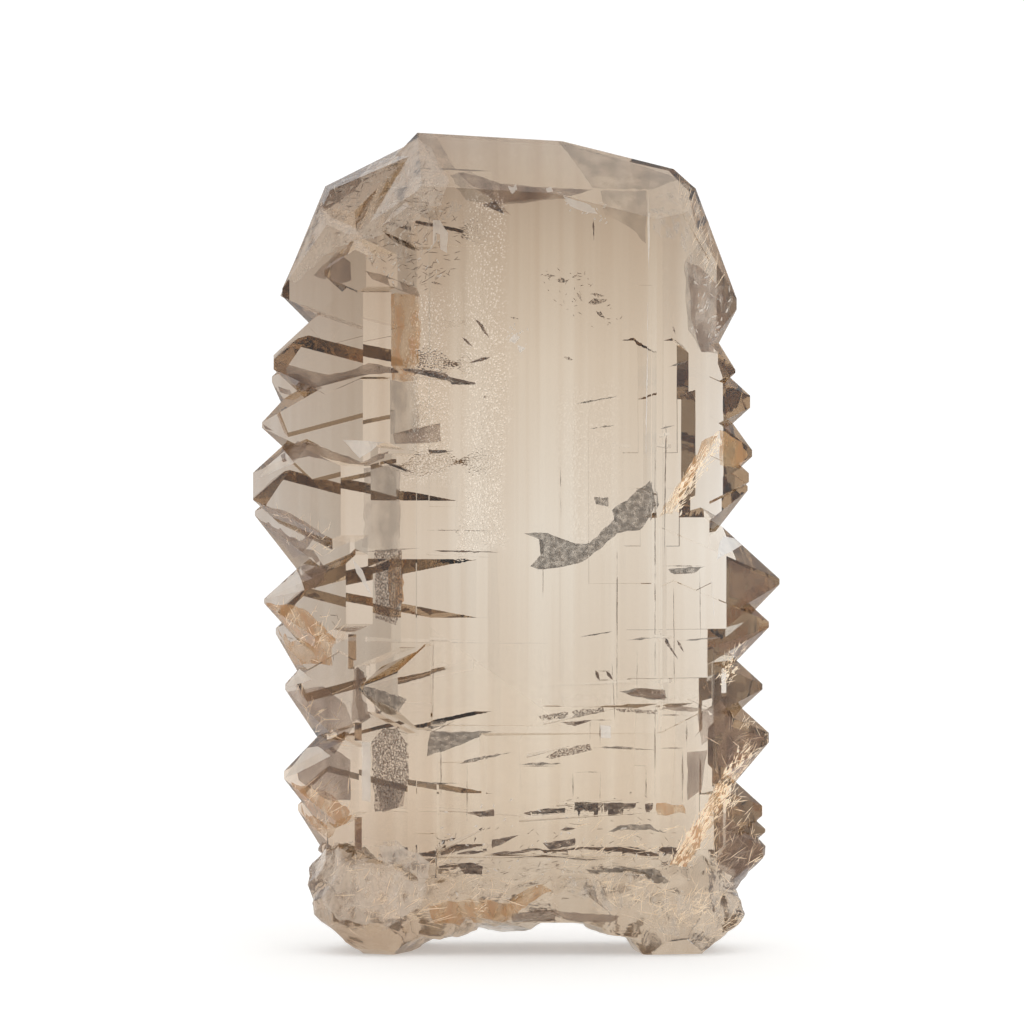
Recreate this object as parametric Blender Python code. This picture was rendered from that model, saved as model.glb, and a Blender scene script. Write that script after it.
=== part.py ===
"""A smoky quartz gwindel: a slightly twisted stack of quartz crystals grown together into one piece.

The crystals lie across the stack, so their long axis is X. Each ends in a six-sided point on the
left and on the right, and the points make the two saw-toothed sides. The stack runs up Z, the wide
prism face that they share looks along -Y, and the origin is the middle of the foot.
"""

import math
import random
from typing import NamedTuple

import bmesh
import bpy
from mathutils import Matrix, Vector

MM = 0.001

# Quartz: a prism face and the point's face above it are 38.2 degrees apart.
POINT_SLOPE = math.radians(38.2)
ALONG = math.sin(POINT_SLOPE)
ACROSS = math.cos(POINT_SLOPE)
# Where the upper faces of a point meet, the ridge falls at this angle.
RIDGE_SLOPE = 42.3
# How far those faces lean to the front and the back.
LEAN = ACROSS * 0.5
# A prism's sides are 60 degrees apart, so its roof leans by half and rises by the rest.
LEAN_OF_ROOF = 0.5
RISE_OF_ROOF = math.sqrt(0.75)

# The whole stack, in millimetres.
HEIGHT = 75.0
FRONT = 8.5
BACK = 6.5
# On the left the backs of the crystals lie nearly flat, and the points there are thin.
FLAT_BACK = 19.0
FACE_LEFT = -9.05
FACE_RIGHT = 12.7
CORE_LEFT = -17.4
CORE_RIGHT = 17.6
CORE_BOTTOM = 2.9
# Below this height the wide face gives way to the broken foot, and the core slopes back.
FOOT_TOP = 9.4
FOOT_SET_BACK = 0.36
RIDGE_LEFT = -9.1
RIDGE_RIGHT = 4.3
RIDGE_FALL = 0.8
SHOULDER = (15.6, -2.2, 71.4)
# How steep the end faces of the top are at the left and the right, front face first.
LEFT_END_SLOPES = (49.0, 44.0)
RIGHT_END_SLOPES = (69.5, 64.0)
# The outward normals' X and Z in the two stretches of the roof.
ROOF_LEFT = (0.05, 0.864)
ROOF_RIGHT = (0.21, 0.84)
# The core's side faces on the back: a point on each, and how far it falls away, in degrees.
CORE_BACKS = (((-13.9, 2.4, 0.0), -FLAT_BACK), ((9.6, BACK, 0.0), 21.5))
# The crystals' backs lie this far inside the core's, each by its own small amount, so that no two
# faces share a plane.
BACK_INSET = 0.2
APART = 0.04
# The crystal behind the upper left corner: its tip, where it starts, and the slope and lean of the
# faces that meet in the tip.
CORNER = (-17.6, 1.7, 70.1)
CORNER_RIGHT = -9.4
CORNER_INSET = 0.7
CORNER_FACES = ((67.0, -0.28), (68.5, 0.32), (26.0, -0.25), (28.0, 0.42))
TWIST_PER_MM = math.radians(0.045)
LAYER_DEPTH = 4.6
BLOCK = 140.0


class Point(NamedTuple):
    """One crystal's point at a side of the stack, in millimetres and degrees.

    Reach is from the stack's axis, and height from the foot to the top of the point's upright
    edge, which is `edge` long and lies at `depth`. The crystal's front face is at `front`, and goes
    from `rise` above the point to `drop` below it. Upper and lower are the slopes of its outline,
    and the crystal reaches in to `inner` from the axis. Its back falls away by `behind`.
    """

    reach: float
    height: float
    edge: float = 0.4
    depth: float = 0.0
    front: float = 6.5
    upper: float = RIDGE_SLOPE
    lower: float = RIDGE_SLOPE
    rise: float = 5.0
    drop: float = 5.0
    upper_lean: float = LEAN
    inner: float = -1.3
    behind: float = 38.2


LEFT_POINTS = (
    Point(21.5, 60.7, 0.7, 0.4, 4.3, upper=66.0, lower=45.0, rise=5.0, drop=2.2, behind=FLAT_BACK),
    Point(22.3, 54.6, 1.3, 0.0, 6.5, upper=43.5, rise=5.8, drop=0.6, upper_lean=0.03, behind=FLAT_BACK),
    Point(22.5, 52.6, 0.5, 1.9, 5.9, lower=66.0, rise=1.0, drop=2.6, behind=FLAT_BACK),
    Point(23.4, 48.4, 0.5, 0.9, 6.47, upper=47.0, rise=4.0, drop=2.9, behind=FLAT_BACK),
    Point(24.2, 43.8, 2.5, -0.1, 6.53, rise=0.8, drop=3.0, behind=FLAT_BACK),
    Point(24.1, 40.2, 0.4, 1.6, 5.4, lower=52.0, rise=1.0, drop=4.0, behind=FLAT_BACK),
    Point(23.2, 32.2, 0.4, -0.4, 6.45, lower=48.0, rise=4.3, drop=1.6, behind=FLAT_BACK),
    Point(22.2, 29.4, 0.5, 1.4, 5.6, lower=60.0, rise=1.0, drop=3.4, behind=FLAT_BACK),
    Point(21.3, 24.3, 0.5, 0.4, 5.62, upper=48.0, lower=56.0, rise=2.0, drop=2.2, behind=FLAT_BACK),
    Point(21.4, 16.3, 0.7, -0.2, 5.8, upper=46.0, lower=52.0, rise=2.6, drop=2.6, behind=FLAT_BACK),
    Point(20.2, 13.1, 0.5, 1.2, 5.3, lower=58.0, rise=1.0, drop=3.2, behind=FLAT_BACK),
    Point(18.5, 9.2, 0.2, 0.4, 5.1, rise=1.6, drop=2.4, behind=FLAT_BACK),
    # Smaller crystals that stand on the front, left of the wide face.
    Point(14.3, 24.4, 0.3, -6.1, 8.95, rise=3.9, drop=3.2, inner=7.7),
    Point(17.6, 62.4, 0.5, -3.9, 6.9, upper=50.0, rise=1.4, drop=1.0, inner=9.0),
    Point(12.4, 66.4, 0.4, -6.6, 8.7, upper=52.0, rise=1.6, drop=1.5, inner=7.4),
    Point(12.9, 9.6, 0.4, -5.6, 8.8, rise=1.6, drop=2.0, inner=7.1),
)

RIGHT_POINTS = (
    Point(20.1, 59.8, 1.0, -2.7, 8.2, upper=69.5, lower=62.0, rise=6.9, drop=5.0, behind=24.0),
    Point(20.0, 53.3, 0.3, -2.6, 8.1, upper=58.0, rise=3.0, drop=3.0),
    Point(21.4, 50.9, 1.1, -1.6, 8.2, rise=5.0, drop=4.2),
    Point(21.6, 45.9, 0.6, -1.4, 8.3, upper=54.0, rise=4.6, drop=3.0),
    Point(21.3, 43.8, 0.8, -1.7, 8.1, rise=2.5, drop=2.6),
    Point(21.2, 42.6, 0.4, -1.3, 8.2, lower=52.0, rise=2.4, drop=5.2),
    Point(24.2, 34.0, 0.5, 0.5, 8.3, lower=46.0, rise=5.6, drop=4.2),
    Point(23.2, 30.1, 0.5, -0.4, 8.2, lower=46.0, rise=3.6, drop=4.8),
    Point(22.6, 24.4, 0.5, -0.7, 8.3, rise=4.6, drop=4.6),
    Point(23.2, 19.9, 0.9, -0.3, 8.1, lower=50.0, rise=4.4, drop=5.4, behind=32.0),
    Point(22.6, 13.2, 0.9, -0.7, 8.2, rise=4.8, drop=3.4),
    Point(22.9, 11.0, 0.3, 0.4, 7.9, rise=3.0, drop=1.8, inner=6.0),
    Point(23.1, 9.4, 0.7, -0.3, 8.3, lower=48.0, rise=3.4, drop=5.0, inner=13.4),
)


class Layer(NamedTuple):
    """A layer of the stack that stands out a little on the front or the back.

    Left, right, bottom and top are the box of its face and `level` is how far that face is from
    the stack's middle, in millimetres. The face tips by `tilt` and `nod`, so it sinks into the
    crystal beside it at one side and at one end.
    """

    left: float
    right: float
    bottom: float
    top: float
    level: float
    tilt: float = 0.0
    nod: float = 0.0


FRONT_LAYERS = (
    Layer(-10.9, 6.0, 36.6, 45.6, 8.46),
    Layer(-10.5, 7.0, 28.2, 36.9, 8.43),
    Layer(-9.9, 5.0, 9.0, 20.4, 8.45),
    Layer(-7.6, 12.6, 21.2, 31.5, 8.76, 0.022, 0.03),
    Layer(-6.9, 10.0, 9.2, 17.6, 8.78, 0.02, 0.02),
    Layer(-2.7, 12.5, 9.4, 20.1, 8.98, 0.022, 0.012),
    Layer(-7.9, -0.4, 41.0, 64.6, 8.56, 0.016, -0.004),
    Layer(6.6, 12.2, 34.0, 61.0, 8.57, -0.012, 0.004),
)

BACK_LAYERS = (
    Layer(-1.4, 2.2, 8.0, 62.0, 6.7, 0.0, 0.0041),
    Layer(4.6, 7.4, 8.0, 62.0, 6.76, -0.01, 0.0052),
    Layer(1.0, 10.8, 9.0, 22.0, 6.98, -0.03, 0.03),
)


class Seam(NamedTuple):
    """An open seam between two crystals: its wide end, its thin end, its gap and its depth."""

    left: float
    left_height: float
    right: float
    right_height: float
    gap: float
    depth: float
    level: float = -FRONT


# The blade's corners lie on a circle, so its flat sides are this much closer.
SQUARE = math.sqrt(2.0)
SEAM_THIN_END = 0.03

SEAMS = (
    Seam(-12.6, 53.5, -3.8, 52.0, 0.45, 2.2),
    Seam(-12.4, 46.0, -5.8, 45.7, 0.5, 2.0),
    Seam(-12.4, 44.9, -9.0, 43.7, 0.35, 1.6),
    Seam(-8.2, 36.7, -1.4, 36.3, 0.25, 1.2),
    Seam(2.4, 21.3, 9.0, 22.6, 0.35, 1.5),
    Seam(0.9, 18.3, 4.8, 19.2, 0.35, 1.4),
    Seam(0.2, 12.6, 12.9, 13.2, 0.6, 1.8),
    Seam(-7.2, 9.7, -2.8, 11.7, 0.5, 1.6),
    Seam(12.4, 29.2, 18.9, 28.6, 0.3, 1.2),
    Seam(13.0, 22.7, 16.8, 21.7, 0.3, 1.2),
    Seam(3.6, 13.9, 9.6, 14.3, 0.4, 1.5),
    Seam(12.9, 47.4, 16.5, 48.0, 0.3, 1.3),
    Seam(-12.0, 43.0, -4.0, 42.4, 0.4, 1.8, BACK),
    Seam(-11.0, 28.4, 3.0, 28.0, 0.45, 1.8, BACK),
    Seam(10.8, 24.6, 2.0, 24.0, 0.4, 1.6, BACK),
    Seam(10.6, 46.2, 4.0, 46.6, 0.35, 1.5, BACK),
    Seam(-9.0, 12.8, 1.0, 12.0, 0.4, 1.6, BACK),
)


class Lump(NamedTuple):
    """A broken crystal of the foot: its middle, its half size, the start of chance, its facets.

    It is cut off below at `bottom`, by a face that tips by chance unless it is what stands.
    """

    middle: tuple[float, float, float]
    size: tuple[float, float, float]
    seed: int
    facets: int = 22
    bottom: float = 0.0


FOOT_LUMPS = (
    Lump((-12.9, -2.4, 4.1), (6.2, 6.9, 5.7), 3, 30),
    Lump((-11.0, 2.0, 4.3), (5.8, 5.3, 5.2), 14, 24),
    Lump((-15.8, -2.2, 6.4), (3.2, 4.2, 2.9), 6, 16, 3.0),
    Lump((-7.6, -2.4, 5.3), (5.4, 6.7, 4.4), 9, 22, 1.6),
    Lump((-2.8, -1.6, 5.1), (5.9, 7.6, 4.7), 5, 24, 2.3),
    Lump((1.8, -2.4, 5.3), (5.6, 6.7, 4.6), 20, 24, 2.8),
    Lump((5.9, -1.7, 5.1), (5.6, 7.4, 4.8), 17, 24, 2.8),
    Lump((10.2, -2.3, 5.2), (5.2, 6.9, 4.9), 11, 24, 1.7),
    Lump((14.5, -2.2, 4.1), (5.8, 7.2, 5.9), 8, 30),
    Lump((13.9, 2.3, 4.4), (5.3, 4.8, 5.3), 31, 24),
    Lump((17.8, -3.0, 3.9), (2.9, 3.4, 2.2), 2, 16, 1.2),
    Lump((13.2, -5.0, 6.8), (3.2, 3.4, 3.4), 12, 16, 2.0),
    Lump((-4.6, 2.6, 5.3), (6.4, 4.8, 4.2), 19, 22, 2.3),
    Lump((3.0, 2.8, 5.5), (6.6, 4.6, 4.0), 23, 22, 2.7),
    Lump((9.2, 2.6, 5.3), (5.4, 4.9, 4.4), 27, 22, 1.8),
)
# Facets this far apart are spread evenly round a lump, and then scattered and cut to chance depths.
GOLDEN_TURN = math.pi * (3.0 - math.sqrt(5.0))
FACET_SCATTER = 0.14
FACET_DEPTHS = (0.84, 0.98)
# The breaks that undercut the foot at the left and the right.
UNDERCUTS = (((-0.626, 0.0, -0.78), (-17.6, 0.0, 2.9)), ((0.6, 0.0, -0.8), (18.4, 0.0, 1.1)))


def direction(x, y, z):
    """A unit vector."""
    return Vector((x, y, z)).normalized()


def cut_block(faces):
    """A block cut down to what lies behind every face, each an outward normal and a point on it."""
    block = bmesh.new()
    bmesh.ops.create_cube(block, size=BLOCK, matrix=Matrix.Translation((0.0, 0.0, HEIGHT / 2.0)))
    for normal, point in faces:
        everything = block.verts[:] + block.edges[:] + block.faces[:]
        cut = bmesh.ops.bisect_plane(
            block, geom=everything, dist=1e-3, plane_co=point, plane_no=normal, clear_outer=True
        )
        rim = [item for item in cut["geom_cut"] if isinstance(item, bmesh.types.BMEdge)]
        bmesh.ops.edgeloop_fill(block, edges=rim)
    bmesh.ops.recalc_face_normals(block, faces=block.faces[:])
    return block


def slanted(side, slope, lean, up):
    """The outward normal of a point's slanted face: its slope in degrees, its lean to the back."""
    flat = math.sqrt(1.0 - lean * lean)
    angle = math.radians(slope)
    return direction(side * flat * math.sin(angle), lean, up * flat * math.cos(angle))


def roof(front, back, height, up):
    """The two sloped prism faces that close a crystal above (up 1) or below (up -1)."""
    return [
        (direction(0.0, -LEAN_OF_ROOF, up * RISE_OF_ROOF), Vector((0.0, -front, height))),
        (direction(0.0, LEAN_OF_ROOF, up * RISE_OF_ROOF), Vector((0.0, back, height))),
    ]


def point_block(side, point):
    """One crystal with its point at this side (-1 left, 1 right), reaching in to the stack's middle."""
    top = Vector((side * point.reach, point.depth, point.height))
    foot = top - Vector((0.0, 0.0, point.edge))
    back = BACK - BACK_INSET + APART * point.edge
    behind = math.radians(point.behind)
    faces = [
        (direction(side * ALONG, -ACROSS, 0.0), top),
        (direction(side * math.sin(behind), math.cos(behind), 0.0), top),
        (slanted(side, point.upper, -point.upper_lean, 1.0), top),
        (slanted(side, point.upper, LEAN, 1.0), top),
        (slanted(side, point.lower, -LEAN, -1.0), foot),
        (slanted(side, point.lower, LEAN, -1.0), foot),
        (Vector((0.0, -1.0, 0.0)), Vector((0.0, -point.front, 0.0))),
        (Vector((0.0, 1.0, 0.0)), Vector((0.0, back, 0.0))),
        (Vector((-side, 0.0, 0.0)), Vector((side * point.inner, 0.0, 0.0))),
        (Vector((0.0, 0.0, -1.0)), Vector((0.0, 0.0, CORE_BOTTOM + APART * point.edge))),
    ]
    faces += roof(point.front, back, point.height + point.rise, 1.0)
    faces += roof(point.front, back, point.height - point.edge - point.drop, -1.0)
    return cut_block(faces)


def layer_block(side, layer):
    """A layer of the front (side -1) or the back (side 1), with slanted ends, top and bottom."""
    level = side * layer.level
    fall = POINT_SLOPE if side < 0.0 else math.radians(FLAT_BACK)
    left = Vector((layer.left, level, layer.bottom))
    right = Vector((layer.right, level, layer.top))
    faces = [
        (direction(layer.tilt, side, layer.nod), left),
        (Vector((0.0, -side, 0.0)), Vector((0.0, side * LAYER_DEPTH, 0.0))),
        (direction(-math.sin(fall), side * math.cos(fall), 0.0), left),
        (direction(math.sin(fall), side * math.cos(fall), 0.0), right),
        (direction(0.0, side * LEAN_OF_ROOF, RISE_OF_ROOF), right),
        (direction(0.0, side * LEAN_OF_ROOF, -RISE_OF_ROOF), left),
    ]
    return cut_block(faces)


def core_block():
    """The middle of the stack, which all the crystals share, with the wide front and back faces."""
    front_left = Vector((FACE_LEFT, -FRONT, 0.0))
    front_right = Vector((FACE_RIGHT, -FRONT, 0.0))
    ridge = Vector((RIDGE_LEFT, 0.0, HEIGHT))
    ridge_end = Vector((RIDGE_RIGHT, 0.0, HEIGHT - RIDGE_FALL))
    shoulder = Vector(SHOULDER)
    faces = [
        (Vector((0.0, -1.0, 0.0)), front_left),
        (direction(0.0, -1.0, -FOOT_SET_BACK), Vector((0.0, -FRONT, FOOT_TOP))),
        (Vector((0.0, 1.0, 0.0)), Vector((0.0, BACK, 0.0))),
        (direction(-ALONG, -ACROSS, 0.0), front_left),
        (direction(ALONG, -ACROSS, 0.0), front_right),
        (Vector((-1.0, 0.0, 0.0)), Vector((CORE_LEFT, 0.0, 0.0))),
        (Vector((1.0, 0.0, 0.0)), Vector((CORE_RIGHT, 0.0, 0.0))),
        (Vector((0.0, 0.0, -1.0)), Vector((0.0, 0.0, CORE_BOTTOM))),
    ]
    for place, fall in CORE_BACKS:
        angle = math.radians(fall)
        faces.append((direction(math.sin(angle), math.cos(angle), 0.0), Vector(place)))
    for end, (x, z) in ((ridge, ROOF_LEFT), (ridge_end, ROOF_RIGHT)):
        faces.append((direction(x, -LEAN_OF_ROOF, z), end))
        faces.append((direction(x, LEAN_OF_ROOF, z), end))
    for side, end, slopes in ((-1.0, ridge, LEFT_END_SLOPES), (1.0, shoulder, RIGHT_END_SLOPES)):
        faces.append((slanted(side, slopes[0], -LEAN, 1.0), end))
        faces.append((slanted(side, slopes[1], LEAN, 1.0), end))
    return cut_block(faces)


def back_corner_block():
    """The rough crystal behind the upper left corner."""
    corner = Vector(CORNER)
    flat = math.radians(FLAT_BACK)
    level = BACK - CORNER_INSET
    faces = [
        (direction(-0.22, -1.0, 0.0), Vector((-16.0, -0.7, 0.0))),
        (Vector((0.0, 1.0, 0.0)), Vector((0.0, level, 0.0))),
        (direction(-math.sin(flat), math.cos(flat), 0.03), Vector((CORNER_RIGHT, level, corner.z))),
        (Vector((1.0, 0.0, 0.0)), Vector((CORNER_RIGHT, 0.0, 0.0))),
        (direction(-0.3, 0.1, -1.0), Vector((-17.0, 0.0, 58.5))),
    ]
    for slope, lean in CORNER_FACES:
        faces.append((slanted(-1.0, slope, lean, 1.0), corner))
    return cut_block(faces)


def seam_block(seam):
    """The cutter of a seam: a four-sided blade that thins out from its wide end."""
    run = math.hypot(seam.right - seam.left, seam.right_height - seam.left_height)
    rise = math.atan2(seam.right_height - seam.left_height, seam.right - seam.left)
    blade = bmesh.new()
    bmesh.ops.create_cone(
        blade, segments=4, radius1=0.5, radius2=SEAM_THIN_END, depth=1.0, cap_ends=True
    )
    bmesh.ops.rotate(blade, verts=blade.verts[:], matrix=Matrix.Rotation(math.radians(45.0), 3, "Z"))
    bmesh.ops.rotate(blade, verts=blade.verts[:], matrix=Matrix.Rotation(math.radians(90.0), 3, "Y"))
    size = Vector((run, seam.depth * 2.0 * SQUARE, seam.gap * SQUARE))
    bmesh.ops.scale(blade, verts=blade.verts[:], vec=size)
    bmesh.ops.rotate(blade, verts=blade.verts[:], matrix=Matrix.Rotation(-rise, 3, "Y"))
    height = (seam.left_height + seam.right_height) / 2.0
    middle = Vector(((seam.left + seam.right) / 2.0, seam.level, height))
    bmesh.ops.translate(blade, verts=blade.verts[:], vec=middle)
    return blade


def lump_block(lump):
    """A broken crystal of the foot: flat facets set round an egg shape, cut off at its bottom."""
    chance = random.Random(lump.seed)
    middle = Vector(lump.middle)
    tips = [chance.gauss(0.0, FACET_SCATTER) if lump.bottom else 0.0 for _ in range(2)]
    base = Vector((middle.x, middle.y, lump.bottom))
    faces = [(direction(tips[0], tips[1], -1.0), base)]
    faces += [(direction(*normal), Vector(place)) for normal, place in UNDERCUTS]
    for index in range(lump.facets):
        z = 1.0 - (2.0 * index + 1.0) / lump.facets
        flat = math.sqrt(1.0 - z * z)
        turn = index * GOLDEN_TURN
        scatter = [chance.gauss(0.0, FACET_SCATTER) for _ in range(3)]
        normal = direction(
            math.cos(turn) * flat + scatter[0], math.sin(turn) * flat + scatter[1], z + scatter[2]
        )
        reach = Vector(normal[axis] * lump.size[axis] for axis in range(3))
        touch = Vector(reach[axis] * lump.size[axis] for axis in range(3)) / reach.length
        faces.append((normal, middle + touch * chance.uniform(*FACET_DEPTHS)))
    return cut_block(faces)


def twisted(block, height):
    """Turns a crystal about the stack's axis, by the twist at its height."""
    turn = Matrix.Rotation((height - HEIGHT / 2.0) * TWIST_PER_MM, 4, "Z")
    bmesh.ops.transform(block, matrix=turn, verts=block.verts[:])
    return block


def to_object(name, block, collection):
    """A mesh object in metres from a block in millimetres."""
    bmesh.ops.scale(block, vec=Vector((MM, MM, MM)), verts=block.verts[:])
    mesh = bpy.data.meshes.new(name)
    block.to_mesh(mesh)
    block.free()
    made = bpy.data.objects.new(name, mesh)
    collection.objects.link(made)
    return made


def is_closed(mesh):
    """Whether every edge of the mesh has exactly two faces."""
    counted = bmesh.new()
    counted.from_mesh(mesh)
    closed = all(len(edge.link_faces) == 2 for edge in counted.edges)
    counted.free()
    return closed


def join(body, other, operation="UNION"):
    """Joins the other object to the body, or cuts it away, and removes the other.

    Faces that nearly lie in one plane, as a crystal's do, can leave the exact solver with an open
    mesh, so the manifold solver takes over there.
    """
    boolean = body.modifiers.new(other.name, "BOOLEAN")
    boolean.operation = operation
    boolean.object = other
    for solver in ("EXACT", "MANIFOLD"):
        boolean.solver = solver
        graph = bpy.context.evaluated_depsgraph_get()
        joined = bpy.data.meshes.new_from_object(body.evaluated_get(graph))
        if is_closed(joined):
            break
        print(solver, "left an open mesh at", other.name)
    body.modifiers.remove(boolean)
    spent = body.data
    body.data = joined
    bpy.data.meshes.remove(spent)
    bpy.data.objects.remove(other)


def keep_largest(body):
    """Drops the tiny closed slivers that a join can leave inside the solid."""
    mesh = bmesh.new()
    mesh.from_mesh(body.data)
    unseen = set(mesh.verts)
    shells = []
    while unseen:
        shell = []
        reached = [unseen.pop()]
        while reached:
            vertex = reached.pop()
            shell.append(vertex)
            near = {edge.other_vert(vertex) for edge in vertex.link_edges} & unseen
            unseen -= near
            reached += list(near)
        shells.append(shell)
    shells.sort(key=len)
    slivers = [vertex for shell in shells[:-1] for vertex in shell]
    bmesh.ops.delete(mesh, geom=slivers, context="VERTS")
    mesh.to_mesh(body.data)
    mesh.free()


def stand_on_origin(body):
    """Puts the middle of the foot at the origin, with the flat cuts at height 0."""
    points = [vertex.co for vertex in body.data.vertices]
    lowest = Vector(min(point[axis] for point in points) for axis in range(3))
    highest = Vector(max(point[axis] for point in points) for axis in range(3))
    middle = (lowest + highest) / 2.0
    body.data.transform(Matrix.Translation((-middle.x, -middle.y, -lowest.z)))
    body.data.update()


def quartz_material():
    """Clear smoky quartz, polished by growth."""
    material = bpy.data.materials.new("smoky_quartz")
    material.use_nodes = True
    shader = material.node_tree.nodes["Principled BSDF"]
    shader.inputs["Base Color"].default_value = (0.80, 0.68, 0.55, 1.0)
    shader.inputs["Roughness"].default_value = 0.05
    shader.inputs["Metallic"].default_value = 0.0
    shader.inputs["IOR"].default_value = 1.544
    shader.inputs["Transmission Weight"].default_value = 1.0
    return material


def new_collection(name):
    """An empty collection in the scene."""
    collection = bpy.data.collections.new(name)
    bpy.context.scene.collection.children.link(collection)
    return collection


def main():
    for old in list(bpy.data.objects):
        bpy.data.objects.remove(old, do_unlink=True)
    specimen = new_collection("smoky_quartz_gwindel")

    body = to_object("gwindel", core_block(), specimen)
    for side, points in ((-1.0, LEFT_POINTS), (1.0, RIGHT_POINTS)):
        for point in points:
            block = twisted(point_block(side, point), point.height)
            join(body, to_object("point", block, specimen))
    for side, layers in ((-1.0, FRONT_LAYERS), (1.0, BACK_LAYERS)):
        for layer in layers:
            join(body, to_object("layer", layer_block(side, layer), specimen))
    join(body, to_object("back_corner", back_corner_block(), specimen))
    for lump in FOOT_LUMPS:
        join(body, to_object("lump", lump_block(lump), specimen))
    for seam in SEAMS:
        join(body, to_object("seam", seam_block(seam), specimen), "DIFFERENCE")
    keep_largest(body)
    stand_on_origin(body)
    body.data.name = "gwindel"
    body.data.materials.clear()
    body.data.materials.append(quartz_material())


main()
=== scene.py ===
"""The looks of a smoky quartz gwindel: clear brown quartz with its growth lines, seams and veils.

Every length is in metres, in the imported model's own frame: X along the crystals, Y to the back and
Z up the stack, with the flat cuts of the foot at height 0.
"""

from __future__ import annotations

import logging
import math
import random
from dataclasses import dataclass
from enum import Enum
from typing import Any

import bmesh
import bpy
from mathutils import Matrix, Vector, noise
from mathutils.bvhtree import BVHTree

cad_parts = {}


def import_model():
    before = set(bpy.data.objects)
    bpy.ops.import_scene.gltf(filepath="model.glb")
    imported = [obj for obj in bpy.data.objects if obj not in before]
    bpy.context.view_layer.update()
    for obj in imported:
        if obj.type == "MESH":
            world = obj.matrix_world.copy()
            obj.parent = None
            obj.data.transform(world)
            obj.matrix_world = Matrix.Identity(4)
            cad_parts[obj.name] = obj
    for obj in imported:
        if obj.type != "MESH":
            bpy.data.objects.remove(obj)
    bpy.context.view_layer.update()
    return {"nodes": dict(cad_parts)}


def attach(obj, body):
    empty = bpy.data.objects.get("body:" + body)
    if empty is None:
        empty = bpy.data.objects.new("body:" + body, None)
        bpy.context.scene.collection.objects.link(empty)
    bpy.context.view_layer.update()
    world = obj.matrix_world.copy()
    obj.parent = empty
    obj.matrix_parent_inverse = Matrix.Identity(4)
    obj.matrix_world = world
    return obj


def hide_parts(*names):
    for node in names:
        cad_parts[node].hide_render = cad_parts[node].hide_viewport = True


log = logging.getLogger("gwindel")

MM = 0.001
NODE = "gwindel"
# The attribute that is 0 on a plate's edge and 1 inside it.
INNER = "inner"
# Nearly straight up, but off the upright faces, which a straight ray would graze.
UPWARDS = Vector((0.0123, 0.0217, 1.0)).normalized()
# How far a ray starts past the face that it has just met.
HAIR_BREADTH = 0.0001 * MM
MOST_CROSSINGS = 60
# Marks of the front fade out between these depths, in millimetres.
FRONT_ENDS = (-3.0, -1.0)

Pixel = tuple[float, float]
Outline = tuple[Pixel, ...]


def linear(hex_colour: str) -> tuple[float, float, float, float]:
    """Turns an sRGB hex colour into linear values.

    Args:
        hex_colour: Six hex digits, such as "c8b49a".

    Returns:
        Red, green, blue and 1.
    """
    values = [int(hex_colour[i : i + 2], 16) / 255.0 for i in (0, 2, 4)]
    red, green, blue = (v / 12.92 if v <= 0.04045 else ((v + 0.055) / 1.055) ** 2.4 for v in values)
    return (red, green, blue, 1.0)


def add_node(tree: Any, kind: str, settings: dict[str, Any] | None = None, **inputs: Any) -> Any:
    """Adds a shader node with its settings, values and links.

    Args:
        tree: The node tree.
        kind: The node's type name after "ShaderNode".
        settings: Properties of the node itself.
        inputs: Socket names with underscores for spaces, or socket numbers after an "i". A socket
            as the value is linked, and anything else is set.

    Returns:
        The node.
    """
    node = tree.nodes.new("ShaderNode" + kind)
    for name, value in (settings or {}).items():
        setattr(node, name, value)
    for name, value in inputs.items():
        numbered = name[0] == "i" and name[1:].isdigit()
        key: Any = int(name[1:]) if numbered else name.replace("_", " ")
        socket = node.inputs[key]
        if isinstance(value, bpy.types.NodeSocket):
            tree.links.new(value, socket)
        else:
            socket.default_value = value
    return node


def ramp(tree: Any, value: Any, stops: tuple[tuple[float, str], ...]) -> Any:
    """Adds a colour ramp.

    Args:
        tree: The node tree.
        value: The socket that drives it.
        stops: Positions from 0 to 1 with their hex colours.

    Returns:
        The ramp's colour socket.
    """
    node = add_node(tree, "ValToRGB", Fac=value)
    elements = node.color_ramp.elements
    while len(elements) < len(stops):
        elements.new(0.5)
    for element, (position, colour) in zip(elements, stops):
        element.position = position
        element.color = linear(colour)
    return node.outputs["Color"]


def spread(
    tree: Any, value: Any, low: float, high: float, start: float = 0.0, end: float = 1.0
) -> Any:
    """Maps a value smoothly from one range to another.

    Args:
        tree: The node tree.
        value: The socket that is mapped.
        low: The value that gives start.
        high: The value that gives end.
        start: The result at low.
        end: The result at high.

    Returns:
        The mapped socket.
    """
    node = add_node(
        tree, "MapRange", {"interpolation_type": "SMOOTHSTEP"},
        Value=value, From_Min=low, From_Max=high, To_Min=start, To_Max=end,
    )
    return node.outputs["Result"]


def combine(tree: Any, operation: str, first: Any, second: Any = 0.0, third: Any = 0.0) -> Any:
    """Adds a Math node.

    Args:
        tree: The node tree.
        operation: The node's operation.
        first: The first value or socket.
        second: The second value or socket.
        third: The third value or socket, where the operation has one.

    Returns:
        The result socket.
    """
    node = add_node(tree, "Math", {"operation": operation}, i0=first, i1=second, i2=third)
    return node.outputs["Value"]


def tinted(tree: Any, first: Any, second: Any) -> Any:
    """Multiplies two colours.

    Args:
        tree: The node tree.
        first: The first colour or socket.
        second: The second colour or socket.

    Returns:
        The result's colour socket.
    """
    how = {"data_type": "RGBA", "blend_type": "MULTIPLY"}
    return add_node(tree, "Mix", how, i0=1.0, i6=first, i7=second).outputs[2]


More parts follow.
